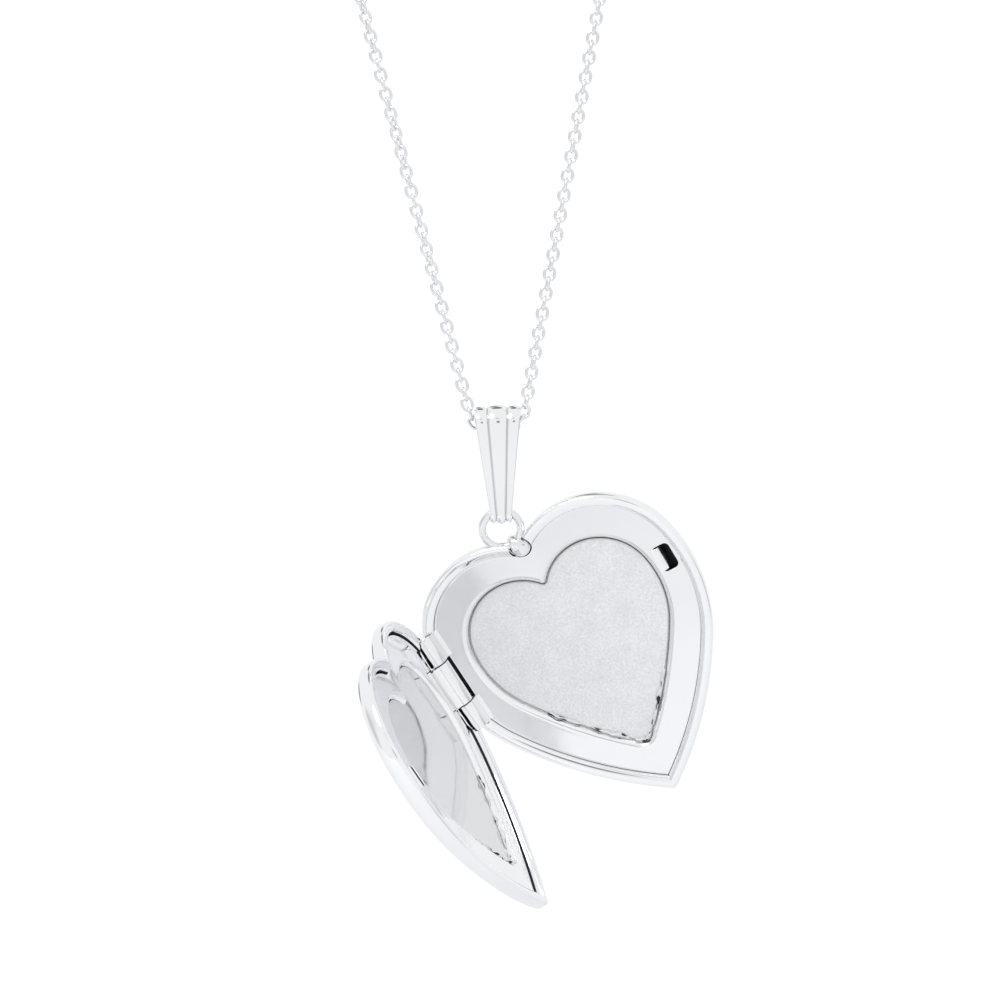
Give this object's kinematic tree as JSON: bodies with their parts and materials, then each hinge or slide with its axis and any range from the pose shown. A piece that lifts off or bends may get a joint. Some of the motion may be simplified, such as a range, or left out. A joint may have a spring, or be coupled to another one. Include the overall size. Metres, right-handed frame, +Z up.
{
  "type": "heart locket",
  "caption": "Polished heart-shaped locket, hanging open on its side hinge from a fluted bail on a fine link chain, with a picture well in each half",
  "frame": {"origin": "the point between the two held chain ends where the necklace hangs", "axes": "+Z up, the open locket faces -Y, chain strands spread along X"},
  "size_m": [0.0273, 0.0214, 0.0738],
  "materials": {
    "silver": "polished sterling silver",
    "chain_silver": "polished silver link wire",
    "card": "matte speckled grey picture card",
    "film": "thin clear film"
  },
  "bodies": {
    "held_chain": {"chain_left": "chain_silver", "chain_right": "chain_silver", "clasp_body": "chain_silver", "clasp_jump_ring": "chain_silver", "chain_end_ring": "chain_silver"},
    "clasp_slide": {"clasp_trigger": "chain_silver", "clasp_thumb_knob": "chain_silver"},
    "bail": {"bail_strap": "silver"},
    "back_half": {"hanging_ring": "silver", "ring_stem": "silver", "back_shell": "silver", "back_plate": "silver", "back_card": "card", "back_film": "film", "upper_knuckle": "silver", "lower_knuckle": "silver", "hinge_pin": "silver", "catch_lip": "silver"},
    "front_half": {"front_shell": "silver", "front_plate": "silver", "front_card": "card", "front_film": "film", "door_knuckle": "silver", "catch_tongue": "silver"}
  },
  "joints": [
    {"name": "bail_swing", "type": "hinge", "parent": "held_chain", "child": "bail", "pos_m": [0, 0, -0.036], "axis": [1, 0, 0], "range_deg": [-50, 50]},
    {"name": "ring_turn", "type": "hinge", "parent": "bail", "child": "back_half", "pos_m": [0, 0.00037, -0.04354], "axis": [0, -0.9455, -0.3256], "range_deg": [-93, 37]},
    {"name": "door_hinge", "type": "hinge", "parent": "back_half", "child": "front_half", "pos_m": [-0.00401, 0.00411, -0.05445], "axis": [0.501, 0.2281, -0.8348], "range_deg": [-90, 55]},
    {"name": "clasp_trigger_slide", "type": "hinge", "parent": "held_chain", "child": "clasp_slide", "pos_m": [-0.00981, 0, 0.0001], "axis": [0, -1, 0], "range_deg": [0, 52], "stiffness_Nm_per_rad": 0.00005, "springref_deg": -10.03}
  ]
}
